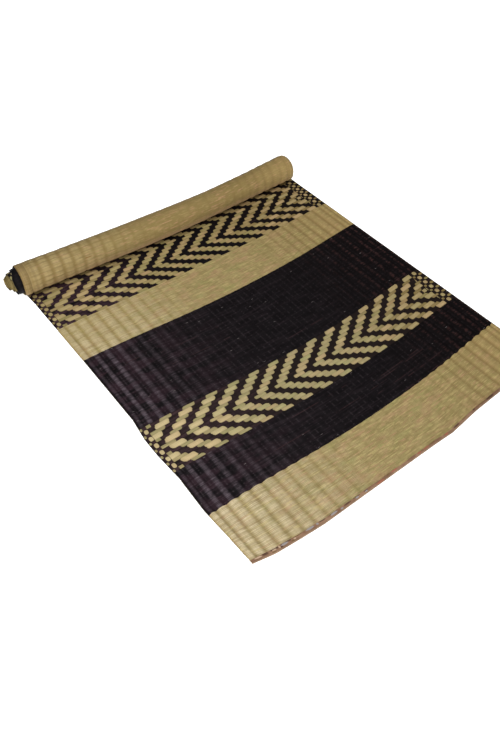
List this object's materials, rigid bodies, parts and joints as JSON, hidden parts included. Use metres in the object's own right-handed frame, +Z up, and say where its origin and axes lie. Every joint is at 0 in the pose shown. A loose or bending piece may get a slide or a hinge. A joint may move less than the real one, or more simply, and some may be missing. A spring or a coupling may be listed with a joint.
{
  "type": "woven floor mat",
  "caption": "Woven sedge floor mat, part unrolled: a flat ribbed length in natural and black stripes with chevron bands, a loose roll at its far end and a taped near end",
  "frame": {"origin": "middle of the footprint, on the floor that the mat lies on", "axes": "+X across the width, from the side where the roll's turns stand out to the other; +Y along the length, from the taped near end to the roll; +Z up"},
  "size_m": [0.957, 1.034, 0.0873],
  "materials": {
    "sedge": "split sedge reeds, natural straw and glossy black, woven over cotton warps",
    "binding_tape": "matt brown cotton tape with small grey and dark marks"
  },
  "bodies": {
    "root": {"mat": "sedge", "end_binding": "binding_tape"}
  },
  "joints": []
}
